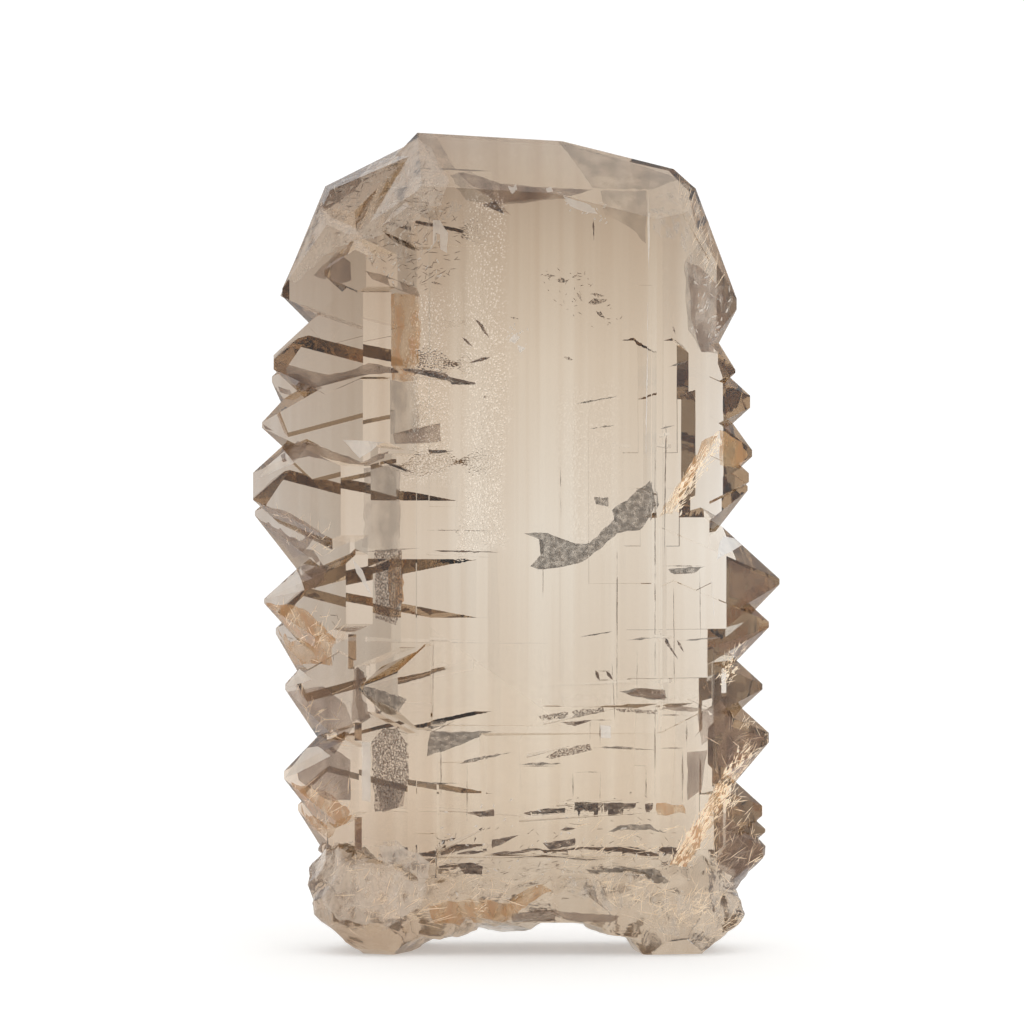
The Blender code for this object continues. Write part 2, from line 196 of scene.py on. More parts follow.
class Place:
    """Object coordinates in millimetres, for patterns that keep their real size."""

    def __init__(self, tree: Any) -> None:
        """Adds the nodes that read the place.

        Args:
            tree: The node tree.
        """
        self.tree = tree
        coordinates = add_node(tree, "TexCoord")
        place = coordinates.outputs["Object"]
        scaled = add_node(tree, "VectorMath", {"operation": "SCALE"}, i0=place, Scale=1.0 / MM)
        self.point = scaled.outputs["Vector"]
        axes = add_node(tree, "SeparateXYZ", Vector=self.point)
        self.x = axes.outputs["X"]
        self.y = axes.outputs["Y"]
        self.z = axes.outputs["Z"]
        facing = add_node(tree, "SeparateXYZ", Vector=coordinates.outputs["Normal"])
        self.facing_y = facing.outputs["Y"]

    def stretched(self, size: tuple[float, float, float]) -> Any:
        """Coordinates for a pattern whose grains have the given size.

        Args:
            size: The grain's size along X, Y and Z, in millimetres.

        Returns:
            A vector socket.
        """
        scale = add_node(
            self.tree, "VectorMath", {"operation": "MULTIPLY"},
            i0=self.point, i1=tuple(1.0 / s for s in size),
        )
        return scale.outputs["Vector"]

    def grain(self, size: tuple[float, float, float], detail: float = 3.0) -> Any:
        """Noise whose grains have the given size.

        Args:
            size: The grain's size along X, Y and Z, in millimetres.
            detail: How many finer layers it has.

        Returns:
            A value socket from 0 to 1.
        """
        node = add_node(
            self.tree, "TexNoise", Vector=self.stretched(size), Scale=1.0, Detail=detail
        )
        return node.outputs["Fac"]

    def zone(self, x: tuple[float, float], z: tuple[float, float], fade: float, wander: Any) -> Any:
        """A mask over an upright patch of the front.

        Args:
            x: Its left and right, in millimetres.
            z: Its bottom and top.
            fade: How softly it ends.
            wander: The socket that moves its edge, in millimetres.

        Returns:
            A value socket from 0 to 1.
        """
        tree = self.tree
        sides = []
        for axis, (low, high) in ((self.x, x), (self.z, z)):
            moved = combine(tree, "ADD", axis, wander)
            sides.append(spread(tree, moved, low - fade, low + fade))
            sides.append(spread(tree, moved, high - fade, high + fade, 1.0, 0.0))
        first = combine(tree, "MULTIPLY", sides[0], sides[1])
        second = combine(tree, "MULTIPLY", sides[2], sides[3])
        front = spread(tree, self.y, *FRONT_ENDS, 1.0, 0.0)
        return combine(tree, "MULTIPLY", combine(tree, "MULTIPLY", first, second), front)


def new_tree(name: str) -> tuple[Any, Any]:
    """Makes an empty node material.

    Args:
        name: The material's name.

    Returns:
        The material and its node tree.
    """
    material = bpy.data.materials.new(name)
    material.use_nodes = True
    material.node_tree.nodes.clear()
    return material, material.node_tree


@dataclass(frozen=True)
class SmokyQuartz:
    """Clear quartz, browned by natural radiation, with faces as growth and breaks left them.

    The brown is in the depth of the stone, so it is mostly absorption: thin points look pale, and
    light that is thrown along the crystals comes out dark brown.
    """

    name: str = "smoky_quartz_grown"
    refraction: float = 1.544
    body_colour: str = "d4c09c"
    density: float = 60.0
    polish: float = 0.012
    frost: float = 0.16
    broken: float = 0.13
    # How strongly the painted glint dots glow.
    painted_glints: float = 0.21
    # How high the stone is and where its rough foot ends, in millimetres.
    top: float = 75.0
    foot_top: float = 9.0
    # The wavy borders of the frosted and rough parts wander this far to each side.
    wander: float = 1.8
    # Frosted strips of the front: left and right, bottom and top, soft border, strength.
    strips: tuple[tuple[Pixel, Pixel, float, float], ...] = (
        ((-9.4, -5.7), (43.0, 60.4), 0.9, 1.0),
        ((-4.6, -1.0), (37.0, 68.8), 0.9, 1.0),
        ((4.2, 9.4), (37.0, 52.0), 1.6, 0.4),
    )
    # The rough break at the upper left: its slope, and the heights where it sets in.
    corner_slope: float = -0.89
    corner_edge: tuple[float, float] = (81.6, 82.8)
    # Depth of the relief that stands for 1 in the pattern.
    relief: float = 0.09 * MM
    pit: float = 0.22

    def tint(self, tree: Any, place: Place) -> Any:
        """The faint colour zones: upright growth bands, and darker towards the top and the foot.

        Args:
            tree: The node tree.
            place: The coordinates.

        Returns:
            A colour socket.
        """
        height = combine(tree, "DIVIDE", place.z, self.top)
        zones = ramp(
            tree, height,
            (
                (0.0, "dcd1c6"), (0.12, "e2d9cf"), (0.2, "f1ebe4"), (0.5, "ffffff"),
                (0.72, "f2ece5"), (0.86, "d9cec2"), (0.94, "c3b6a9"), (1.0, "b6a89b"),
            ),
        )
        # Growth bands 0.4 to 1.5 mm wide that run up the whole stack.
        bands = spread(tree, place.grain((1.5, 40.0, 90.0), 2.0), 0.36, 0.64)
        banded = tinted(tree, zones, ramp(tree, bands, ((0.0, "f6f2ee"), (1.0, "ffffff"))))
        # Darker towards the left.
        side = spread(tree, place.x, -16.0, 2.0)
        return tinted(tree, banded, ramp(tree, side, ((0.0, "e9dfd6"), (1.0, "ffffff"))))

    def build(self) -> Any:
        """Builds the material.

        Returns:
            The material.
        """
        material, tree = new_tree(self.name)
        place = Place(tree)
        mottle = place.grain((2.2, 2.2, 5.0), 1.0)
        wander = combine(tree, "MULTIPLY_ADD", mottle, 2.0 * self.wander, -self.wander)
        frosted: Any = 0.0
        for x, z, fade, strength in self.strips:
            strip = combine(tree, "MULTIPLY", strength, place.zone(x, z, fade, wander))
            frosted = combine(tree, "MAXIMUM", frosted, strip)
        low = combine(tree, "MULTIPLY_ADD", mottle, 4.0, combine(tree, "ADD", place.z, -2.0))
        foot = spread(tree, low, self.foot_top - 1.6, self.foot_top + 0.8, 1.0, 0.0)
        # The rough break at the upper left corner.
        moved = combine(tree, "ADD", place.z, wander)
        slope = combine(tree, "MULTIPLY_ADD", place.x, self.corner_slope, moved)
        corner = spread(tree, slope, *self.corner_edge)
        rough = combine(tree, "MAXIMUM", foot, corner)
        upright = spread(tree, combine(tree, "ABSOLUTE", place.facing_y), 0.95, 0.985)

        # Dissolved pits 0.22 mm apart, packed close; on the frosted strips they carry painted glints,
        # white dots that glow.
        pits = add_node(tree, "TexVoronoi", Vector=place.stretched((self.pit,) * 3), Scale=1.0)
        pitted = combine(tree, "MULTIPLY", pits.outputs["Distance"], frosted)
        glint_dots = spread(tree, pits.outputs["Distance"], 0.16, 0.42, 1.0, 0.0)
        painted_glints = combine(tree, "MULTIPLY", glint_dots, frosted)
        # Growth lines 0.5 mm apart, the fine upright ribbing of the wide face.
        ribs = combine(tree, "MULTIPLY", place.grain((0.5, 9.0, 70.0), 1.0), upright)
        # Shell-shaped breaks from 1.3 mm down to 0.2 mm.
        shells = combine(
            tree, "MULTIPLY", combine(tree, "ADD", place.grain((1.3, 1.3, 0.9), 2.0), -0.5), rough
        )
        height = combine(tree, "MULTIPLY_ADD", pitted, 0.55, combine(tree, "MULTIPLY", ribs, 0.2))
        height = combine(tree, "MULTIPLY_ADD", mottle, 0.2, height)
        height = combine(tree, "MULTIPLY_ADD", shells, 1.1, height)
        bump = add_node(tree, "Bump", Height=height, Strength=1.0, Distance=self.relief)

        roughness = combine(tree, "MULTIPLY_ADD", frosted, self.frost, self.polish)
        roughness = combine(tree, "MULTIPLY_ADD", rough, self.broken, roughness)
        roughness = combine(tree, "ADD", roughness, spread(tree, mottle, 0.56, 0.74, 0.0, 0.04))
        shader = add_node(
            tree,
            "BsdfPrincipled",
            Base_Color=self.tint(tree, place),
            Roughness=roughness,
            IOR=self.refraction,
            Transmission_Weight=1.0,
            Normal=bump.outputs["Normal"],
            # Painted glints: the pit dots of the frosted strips glow white.
            Emission_Color=ramp(tree, painted_glints, ((0.0, "000000"), (1.0, "fffaf2"))),
            Emission_Strength=self.painted_glints,
        )
        volume = add_node(
            tree, "VolumeAbsorption", Color=linear(self.body_colour), Density=self.density
        )
        add_node(
            tree, "OutputMaterial", Surface=shader.outputs["BSDF"], Volume=volume.outputs["Volume"]
        )
        return material


@dataclass(frozen=True)
class Flaw:
    """What is inside the stone: a thin film that dims, stains or scatters the light behind it.

    Its colour varies between two shades, and it is see-through where the noise is low. Some kinds are
    painted shade of seams, steps and grooves, and some glow with painted light in their light shade.
    """

    name: str
    dark: str
    light: str
    cover: tuple[float, float]
    edges: tuple[float, float]
    grain: tuple[float, float, float]
    roughness: float = 0.45
    # How strongly it glows with painted light, in its light shade.
    painted_glow: float = 0.0
    # How wide the soft border of a plate is, in millimetres.
    fade: float = 0.0

    def build(self) -> Any:
        """Builds the material.

        Returns:
            The material.
        """
        material, tree = new_tree(self.name)
        place = Place(tree)
        mottle = place.grain(self.grain, 3.0)
        colour = ramp(
            tree, spread(tree, mottle, 0.35, 0.65), ((0.0, self.light), (1.0, self.dark))
        )
        cover = spread(tree, mottle, *self.edges, *self.cover)
        if self.fade:
            inner = add_node(tree, "Attribute", {"attribute_name": INNER})
            cover = combine(tree, "MULTIPLY", cover, spread(tree, inner.outputs["Fac"], 0.0, 1.0))
        shader = add_node(
            tree,
            "BsdfPrincipled",
            Base_Color=colour,
            Roughness=self.roughness,
            Alpha=cover,
            # Painted light: the film glows in its light shade.
            Emission_Color=linear(self.light),
            Emission_Strength=self.painted_glow,
        )
        add_node(tree, "OutputMaterial", Surface=shader.outputs["BSDF"])
        return material


class Inside(Enum):
    """The kinds of flaw in this stone, some of them painted shade, painted glints or painted glow."""

    # Dark brown, nearly opaque cleft; where it goes on from the seams between the left crystals it is
    # painted shade.
    CLEFT = Flaw(
        "dark_cleft_and_seam_shade", "73553e", "b3957a",
        cover=(0.35, 0.85), edges=(0.3, 0.6), grain=(0.7, 0.7, 0.3),
    )
    # Thin air film of a fracture, a soft grey mirror.
    FILM = Flaw(
        "grey_air_film", "9b9085", "c9bfb4",
        cover=(0.38, 0.66), edges=(0.35, 0.6), grain=(0.5, 0.5, 0.4),
        roughness=0.3,
    )
    # Rougher, browner film with dots of trapped clay, 0.17 mm apart.
    SPECKLE = Flaw(
        "speckled_clay_film", "8d6a4e", "a98a6e",
        cover=(0.05, 0.66), edges=(0.36, 0.66), grain=(0.17, 0.17, 0.17),
    )
    # Rust that has crept along a break, with a faint painted glow.
    RUST = Flaw(
        "iron_rust_stain_painted_glow", "dba05a", "f4cf94",
        cover=(0.2, 0.55), edges=(0.3, 0.68), grain=(1.1, 1.1, 2.4),
        roughness=0.4, painted_glow=0.16, fade=0.3,
    )
    # Milky healed crack of tiny fluid bubbles, brightened by a painted glow.
    MILK = Flaw(
        "milky_crack_painted_glow", "eee6dd", "fffdf8",
        cover=(0.0, 0.4), edges=(0.42, 0.74), grain=(0.6, 0.6, 1.6),
        roughness=0.5, painted_glow=0.2, fade=0.9,
    )
    # Pale crazed skin of a rough break, brightened by a painted glow.
    VEIL = Flaw(
        "pale_break_painted_glow", "d6cbbe", "f3eee7",
        cover=(0.06, 0.56), edges=(0.3, 0.68), grain=(0.9, 0.9, 1.3),
        roughness=0.5, painted_glow=0.36, fade=0.7,
    )
    # Brown, partly see-through zone: the stone's smoky colour, and painted shade where it lies along
    # the seams between the left crystals, with a faint painted glow.
    SMOKE = Flaw(
        "smoky_zone_and_seam_shade", "956a48", "bf9470",
        cover=(0.2, 0.46), edges=(0.25, 0.7), grain=(2.4, 2.4, 5.0),
        roughness=0.25, painted_glow=0.02, fade=0.25,
    )
    # The same, thin and grey, with no clear edge.
    HAZE = Flaw(
        "grey_growth_zone", "9c8a78", "c4b4a2",
        cover=(0.04, 0.26), edges=(0.25, 0.75), grain=(2.0, 2.0, 3.4),
        roughness=0.3, fade=1.1,
    )
    # Painted shade along the seam between two crystals: brown, partly see-through sheets with a faint
    # painted glow.
    WEDGE = Flaw(
        "painted_seam_shade", "a27a58", "c7a787",
        cover=(0.34, 0.5), edges=(0.3, 0.7), grain=(1.6, 1.6, 1.2),
        roughness=0.15, painted_glow=0.03,
    )
    # Painted glint: a bright patch that glows where a small flat would catch the light.
    GLINT = Flaw(
        "painted_glint_chip", "f6f1ea", "fffdfa",
        cover=(0.5, 0.75), edges=(0.2, 0.8), grain=(1.6, 1.6, 1.6),
        roughness=0.2, painted_glow=0.25,
    )
    # Golden threads of a healed crack, with a strong painted glow that makes them bright.
    THREAD = Flaw(
        "golden_threads_painted_glow", "e9cfa9", "fff2de",
        cover=(1.0, 1.0), edges=(0.2, 0.5), grain=(0.6, 0.6, 0.6),
        roughness=0.35, painted_glow=0.45,
    )
    # Painted shade of an etched hairline: a dark rod that follows the steps of growth, where the
    # groove looks dark.
    HAIR = Flaw(
        "painted_groove_shade", "7d6450", "a58c74",
        cover=(1.0, 1.0), edges=(0.2, 0.5), grain=(0.6, 0.6, 0.6),
        roughness=0.5,
    )
    # Painted shade of a low step of growth seen edge on: a line a shade darker than the face.
    STEP = Flaw(
        "painted_step_shade", "b09a85", "cbb8a4",
        cover=(0.05, 0.5), edges=(0.36, 0.6), grain=(0.9, 0.9, 1.6),
        roughness=0.3,
    )


@dataclass(frozen=True)
class View:
    """The photograph's view: where the camera stands, and which point a pixel shows."""

    width: int = 1024
    pixel: float = 0.0918 * MM
    # The pixel above the middle of the foot, at the flat cuts' height.
    foot: Pixel = (516.5, 950.0)
    middle: Pixel = (512.0, 509.5)
    lens: float = 250.0
    sensor: float = 36.0
    elevation: float = 2.0

    @property
    def aim(self) -> Vector:
        """The point in the middle of the frame."""
        across = self.middle[0] - self.foot[0]
        up = self.foot[1] - self.middle[1]
        return Vector((across, 0.0, up)) * self.pixel

    @property
    def forward(self) -> Vector:
        """The way the camera looks."""
        tilt = math.radians(self.elevation)
        return Vector((0.0, math.cos(tilt), -math.sin(tilt)))

    @property
    def eye(self) -> Vector:
        """Where the camera stands."""
        return self.aim - self.forward * (self.width * self.pixel * self.lens / self.sensor)

    def through(self, spot: Pixel) -> Vector:
        """The direction from the camera through a pixel.

        Args:
            spot: The pixel's column and row.

        Returns:
            A unit vector.
        """
        tilt = math.radians(self.elevation)
        up = Vector((0.0, math.sin(tilt), math.cos(tilt)))
        across = Vector(((spot[0] - self.middle[0]) * self.pixel, 0.0, 0.0))
        target = self.aim + across + up * ((self.middle[1] - spot[1]) * self.pixel)
        return (target - self.eye).normalized()

    def place_camera(self) -> Any:
        """Adds the camera and makes it the scene's.

        Returns:
            The camera's object.
        """
        data = bpy.data.cameras.new("camera")
        data.lens = self.lens
        data.sensor_width = self.sensor
        data.clip_start = 0.01
        data.clip_end = 50.0
        camera = bpy.data.objects.new("camera", data)
        camera.location = self.eye
        camera.rotation_euler = self.forward.to_track_quat("-Z", "Y").to_euler()
        bpy.context.scene.collection.objects.link(camera)
        bpy.context.scene.camera = camera
        return camera


@dataclass
class Crystal:
    """The whole stack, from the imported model's own faces, with its broken foot made finer."""

    merge: float = 0.0005 * MM
    foot_top: float = 10.2 * MM
    # A face belongs to the foot where it ends below this many times the foot's height.
    foot_reach: float = 1.15
    # Faces that look straight to the front or back are crystal faces, not breaks.
    face_on: float = 0.97
    # Shell-shaped hollows: how deep, and how many to a millimetre.
    foot_bulge: float = 0.3 * MM
    bulge_grain: float = 0.34
    # Ridges between them.
    foot_grit: float = 0.2 * MM
    grit_grain: float = 0.9
    foot_edge: float = 0.8 * MM
    foot_splits: int = 3
    softening: float = 0.4
    # Nothing moves in the flat cuts, and above them the relief sets in over this height.
    flat_cut: float = 0.05 * MM
    fade: float = 1.2 * MM

    def build(self, source: Any) -> Any:
        """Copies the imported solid, cleans its mesh and works on the foot.

        Args:
            source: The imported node's object.

        Returns:
            The crystal's object.
        """
        mesh = source.data.copy()
        mesh.name = "crystal"
        crystal = bpy.data.objects.new("crystal", mesh)
        bpy.context.scene.collection.objects.link(crystal)
        work = bmesh.new()
        work.from_mesh(mesh)
        bmesh.ops.remove_doubles(work, verts=work.verts[:], dist=self.merge)
        self.roughen_foot(work)
        work.to_mesh(mesh)
        work.free()
        return crystal

    def is_foot(self, face: Any) -> bool:
        """Whether a face belongs to the broken foot and not to a crystal's flat face."""
        if face.calc_center_median().z > self.foot_top or face.normal.z < -0.999:
            return False
        top = self.foot_top * self.foot_reach
        return abs(face.normal.y) < self.face_on and all(v.co.z < top for v in face.verts)

    def roughen_foot(self, work: Any) -> None:
        """Splits the foot's faces small, rounds them and gives them shell-shaped hollows.

        Args:
            work: The mesh that is being edited.
        """
        foot = [face for face in work.faces if self.is_foot(face)]
        for _ in range(self.foot_splits):
            long_edges = {e for f in foot for e in f.edges if e.calc_length() > self.foot_edge}
            if not long_edges:
                break
            bmesh.ops.subdivide_edges(work, edges=list(long_edges), cuts=1, use_grid_fill=True)
            bmesh.ops.triangulate(work, faces=[f for f in work.faces if len(f.verts) > 4])
            foot = [face for face in work.faces if self.is_foot(face)]
        inner = {v for f in foot for v in f.verts if all(self.is_foot(g) for g in v.link_faces)}
        free = [v for v in inner if v.co.z > self.flat_cut]
        bmesh.ops.smooth_vert(
            work, verts=free, factor=self.softening,
            use_axis_x=True, use_axis_y=True, use_axis_z=True,
        )
        work.normal_update()
        moves = {}
        for vertex in free:
            spot = vertex.co / MM
            bulge = noise.noise(spot * self.bulge_grain) * self.foot_bulge
            other = spot * self.grit_grain + Vector((7.0, 2.0, 5.0))
            ridge = (0.5 - abs(noise.noise(other))) * self.foot_grit
            fade = min(1.0, vertex.co.z / self.fade)
            moves[vertex] = vertex.normal * (bulge + ridge - 0.3 * self.foot_bulge) * fade
        for vertex, move in moves.items():
            vertex.co += move
        for face in foot:
            face.smooth = True


class Surface:
    """The crystal's outside as the camera sees it, so that flaws can be laid just under it."""

    # A ray into the stone starts this far under its surface.
    skin: float = 0.02 * MM
    # A flaw lies at most this share of the way through the stone.
    deepest: float = 0.5

    def __init__(self, crystal: Any, view: View) -> None:
        """Builds the search tree.

        Args:
            crystal: The crystal's object.
            view: The photograph's view.
        """
        work = bmesh.new()
        work.from_mesh(crystal.data)
        self.tree = BVHTree.FromBMesh(work)
        work.free()
        self.view = view

    def under(self, spot: Pixel, sink: float) -> Vector | None:
        """The point under the surface that a pixel shows.

        Args:
            spot: The pixel's column and row.
            sink: How deep it lies, in millimetres.

        Returns:
            The point, or None where the pixel shows the background or the stone is too thin.
        """
        heading = self.view.through(spot)
        hit, _, _, _ = self.tree.ray_cast(self.view.eye, heading)
        if hit is None:
            return None
        start = hit + heading * self.skin
        after, _, _, gap = self.tree.ray_cast(start, heading)
        if after is None:
            return None
        return hit + heading * min(sink * MM, gap * self.deepest)

    def holds(self, point: Vector) -> bool:
        """Whether a point lies inside the stone.

        Args:
            point: The point.

        Returns:
            True where a ray from it crosses the outside an odd number of times.
        """
        crossings = 0
        start = point.copy()
        while crossings < MOST_CROSSINGS:
            hit, _, _, _ = self.tree.ray_cast(start, UPWARDS)
            if hit is None:
                break
            crossings += 1
            start = hit + UPWARDS * HAIR_BREADTH
        return crossings % 2 == 1

    def joins(self, first: Vector, second: Vector) -> bool:
        """Whether the straight way between two points stays inside the stone.

        Args:
            first: One end.
            second: The other end.

        Returns:
            True where both ends are inside and no face lies between them.
        """
        way = second - first
        if not self.holds(first) or not self.holds(second):
            return False
        return self.tree.ray_cast(first, way.normalized(), way.length)[0] is None


def ragged(points: Outline, step: float, wander: float, rng: random.Random) -> list[Pixel]:
    """Splits an outline and lets it wander, as a natural edge does.

    Args:
        points: The outline's corners.
        step: The longest piece, in pixels.
        wander: How far a new point may move, in pixels.
        rng: The seeded source of chance.

    Returns:
        The new outline.
    """
    result: list[Pixel] = []
    for index, start in enumerate(points):
        end = points[(index + 1) % len(points)]
        pieces = max(1, round(math.dist(start, end) / step))
        for piece in range(pieces):
            share = piece / pieces
            drift = wander if piece else wander * 0.3
            result.append(
                (
                    start[0] + (end[0] - start[0]) * share + rng.uniform(-drift, drift),
                    start[1] + (end[1] - start[1]) * share + rng.uniform(-drift, drift),
                )
            )
    return result


def sliver(start: Pixel, end: Pixel, width: float, bulge: float = 0.35) -> Outline:
    """The outline of a thin cleft that is widest part of the way along.

    Args:
        start: One end.
        end: The other end.
        width: Its greatest width, in pixels.
        bulge: Where along it is widest.

    Returns:
        The outline's corners.
    """
    run = Vector((end[0] - start[0], end[1] - start[1]))
    side = Vector((-run.y, run.x)).normalized() * width / 2.0
    middle = Vector(start) + run * bulge
    late = Vector(start) + run * (bulge + 1.0) / 2.0
    return (
        start,
        tuple(middle - side),
        tuple(late - side * 0.5),
        end,
        tuple(late + side * 0.6),
        tuple(middle + side * 0.8),
    )


def slivers(*rows: tuple[float, ...]) -> tuple[Outline, ...]:
    """The outlines of several thin clefts.

    Args:
        rows: Each one's start, end, greatest width and, where it isn't usual, where it is widest.

    Returns:
        The outlines.
    """
    return tuple(sliver((x, y), (to_x, to_y), *rest) for x, y, to_x, to_y, *rest in rows)


def new_piece(name: str, work: Any, finish: Any) -> Any:
    """Makes a piece from an edited mesh.

    Args:
        name: The piece's name.
        work: The mesh that was edited, which is freed.
        finish: The piece's material.

    Returns:
        The piece's object.
    """
    mesh = bpy.data.meshes.new(name)
    work.to_mesh(mesh)
    work.free()
    mesh.materials.append(finish)
    piece = bpy.data.objects.new(name, mesh)
    bpy.context.scene.collection.objects.link(piece)
    return piece


@dataclass
class Flaws:
    """One kind of flaw: thin closed plates just under the stone's surface."""

    name: str
    kind: Inside
    outlines: tuple[Outline, ...]
    sink: float = 0.5
    step: float = 5.0
    wander: float = 0.7
    thickness: float = 0.03 * MM
    seed: int = 1
    # The longest side of a plate's triangles, and how often they are split for it.
    longest: float = 1.0 * MM
    splits: int = 4

    def keep_inside(self, work: Any, surface: Surface) -> None:
        """Splits the plates small and takes off what would stick out of the stone.

        Args:
            work: The mesh that is being edited.
            surface: The crystal's surface.
        """
        for _ in range(self.splits):
            long_edges = [edge for edge in work.edges if edge.calc_length() > self.longest]
            if not long_edges:
                break
            bmesh.ops.subdivide_edges(work, edges=long_edges, cuts=1)
            bmesh.ops.triangulate(work, faces=work.faces[:])
        out = [
            face
            for face in work.faces
            if not surface.holds(face.calc_center_median())
            or not all(surface.joins(*(v.co for v in edge.verts)) for edge in face.edges)
        ]
        bmesh.ops.delete(work, geom=out, context="FACES")

    def build(self, surface: Surface) -> Any:
        """Cuts the plates and joins them into one piece.

        Args:
            surface: The crystal's surface.

        Returns:
            The piece's object.
        """
        rng = random.Random(self.seed)
        work = bmesh.new()
        for outline in self.outlines:
            edge = ragged(outline, self.step, self.wander, rng)
            spots = [surface.under(spot, self.sink) for spot in edge]
            found = [spot for spot in spots if spot is not None]
            if len(found) > 2:
                work.faces.new([work.verts.new(spot) for spot in found])
        inner = work.verts.layers.float.new(INNER)
        middles = work.faces[:]
        if self.kind.value.fade:
            bmesh.ops.inset_individual(work, faces=middles, thickness=self.kind.value.fade * MM)
        for vertex in {v for face in middles for v in face.verts}:
            vertex[inner] = 1.0
        bmesh.ops.triangulate(work, faces=work.faces[:])
        self.keep_inside(work, surface)
        for face in work.faces:
            if face.normal.y > 0.0:
                face.normal_flip()
        piece = new_piece(self.name, work, self.kind.value.build())
        bpy.ops.object.select_all(action="DESELECT")
        piece.select_set(True)
        bpy.context.view_layer.objects.active = piece
        shell = piece.modifiers.new("thickness", "SOLIDIFY")
        shell.thickness = self.thickness
        shell.offset = -1.0
        bpy.ops.object.modifier_apply(modifier=shell.name)
        return piece


@dataclass(frozen=True)
class Thicket:
    """Where threads lie: an area, the way they run, their length in pixels and their number."""

    area: Outline
    # In degrees, 0 to the right and 90 up, with the spread of the threads around it.
    heading: float
    length: float
    count: int
    scatter: float = 14.0
    # The greatest depth, in millimetres.
    deep: float = 2.4

    def anywhere(self, rng: random.Random) -> Pixel:
        """A spot in the area, each as likely as any other.

        Args:
            rng: The seeded source of chance.

        Returns:
            The spot's column and row.
        """
        first = self.area[0]
        fans = list(zip(self.area[1:], self.area[2:]))
        sizes = [
            abs((a[0] - first[0]) * (b[1] - first[1]) - (b[0] - first[0]) * (a[1] - first[1]))
            for a, b in fans
        ]
        second, third = rng.choices(fans, sizes)[0]
        u, v = rng.random(), rng.random()
        if u + v > 1.0:
            u, v = 1.0 - u, 1.0 - v
        return (
            first[0] + u * (second[0] - first[0]) + v * (third[0] - first[0]),
            first[1] + u * (second[1] - first[1]) + v * (third[1] - first[1]),
        )


@dataclass
class Threads:
    """Golden threads of healed cracks: hundreds of thin bent slivers under the surface."""

    name: str
    thickets: tuple[Thicket, ...]
    kind: Inside = Inside.THREAD
    width: float = 0.042 * MM
    joints: int = 4
    seed: int = 5
    # How far a thread bends, in radians, and what share of its length and width it has.
    bends: tuple[float, float] = (-0.35, 0.35)
    lengths: tuple[float, float] = (0.35, 1.2)
    widths: tuple[float, float] = (0.5, 1.1)
    # The least depth, in millimetres.
    shallow: float = 0.25
    # The corners of its section, for a half width of 1.
    section: tuple[tuple[float, float, float], ...] = (
        (0.0, -0.5, 1.0),
        (0.6, 0.4, -1.0),
        (-1.0, 0.3, -0.4),
    )

    def build(self, surface: Surface) -> Any:
        """Lays the threads.

        Args:
            surface: The crystal's surface.

        Returns:
            The piece's object.
        """
        rng = random.Random(self.seed)
        work = bmesh.new()
        for thicket in self.thickets:
            for _ in range(thicket.count):
                self.lay(work, surface, thicket, rng)
        return new_piece(self.name, work, self.kind.value.build())

    def lay(self, work: Any, surface: Surface, thicket: Thicket, rng: random.Random) -> None:
        """Lays one thread as a thin three-sided rod that tapers at both ends.

        Args:
            work: The mesh that is being edited.
            surface: The crystal's surface.
            thicket: Where it lies.
            rng: The seeded source of chance.
        """
        x, y = thicket.anywhere(rng)
        heading = math.radians(thicket.heading + rng.gauss(0.0, thicket.scatter))
        bend = rng.uniform(*self.bends)
        length = thicket.length * rng.uniform(*self.lengths)
        sink = rng.uniform(self.shallow, thicket.deep)
        path = []
        for _ in range(self.joints):
            spot = surface.under((x, y), sink)
            if spot is None:
                break
            path.append(spot)
            x += math.cos(heading) * length / self.joints
            y -= math.sin(heading) * length / self.joints
            heading += bend / self.joints
        if len(path) < 3 or not all(surface.joins(*pair) for pair in zip(path, path[1:])):
            return
        half = self.width * rng.uniform(*self.widths)
        rings = [
            [work.verts.new(spot + Vector(corner) * half) for corner in self.section]
            for spot in path[1:-1]
        ]
        tip, tail = work.verts.new(path[0]), work.verts.new(path[-1])
        for side in range(3):
            after = (side + 1) % 3
            work.faces.new((tip, rings[0][side], rings[0][after]))
            work.faces.new((tail, rings[-1][after], rings[-1][side]))
            for ring, following in zip(rings, rings[1:]):
                work.faces.new((ring[side], following[side], following[after], ring[after]))


# Each outline below holds the columns and rows of its corners in the photograph's view.
# Dark clefts; the first two go on from the seam shade and are painted shade too.
CLEFTS = (
    (
        (391, 368), (420, 370), (445, 373), (454, 381), (476, 383), (476, 384), (452, 384), (442, 375),
        (418, 374), (391, 373),
    ),
    ((395, 450), (425, 450), (453, 451), (430, 454), (410, 455), (397, 454)),
    *slivers((383, 461, 418, 475, 3.0), (433, 551, 500, 552, 1.6), (659, 631, 677, 659, 3.4)),
    ((474, 318), (483, 325), (487, 333), (490, 339), (484, 333), (480, 326)),
    *slivers((469, 363, 490, 357, 4.4, 0.6), (462, 337, 473, 347, 2.4), (593, 219, 594, 242, 2.0)),
    ((483, 204), (496, 202), (504, 214)),
    ((523, 813), (545, 809), (565, 808), (565, 817), (545, 818)),
    ((575, 802), (598, 802), (598, 815), (585, 817), (575, 818)),
    ((604, 803), (636, 803), (634, 814), (604, 814)),
    ((645, 804), (653, 803), (653, 813), (646, 812)),
    ((442, 840), (460, 838), (483, 827), (474, 842), (455, 848), (442, 852)),
    ((467, 813), (494, 809), (494, 816), (480, 817)),
    ((492, 840), (519, 835), (500, 845), (492, 848)),
    *slivers((456, 854, 488, 851, 4.0), (490, 854, 532, 851, 4.0)),
    ((543, 843), (575, 838), (575, 845), (550, 850)),
    *slivers((560, 830, 576, 828, 4.0)),
    ((458, 864), (470, 862), (483, 866), (482, 874), (464, 873)),
    *slivers((595, 670, 600, 681, 4.0), (606, 671, 613, 680, 4.0)),
    ((560, 722), (592, 720), (575, 726)),
    *slivers((676, 640, 683, 652, 3.0)),
)
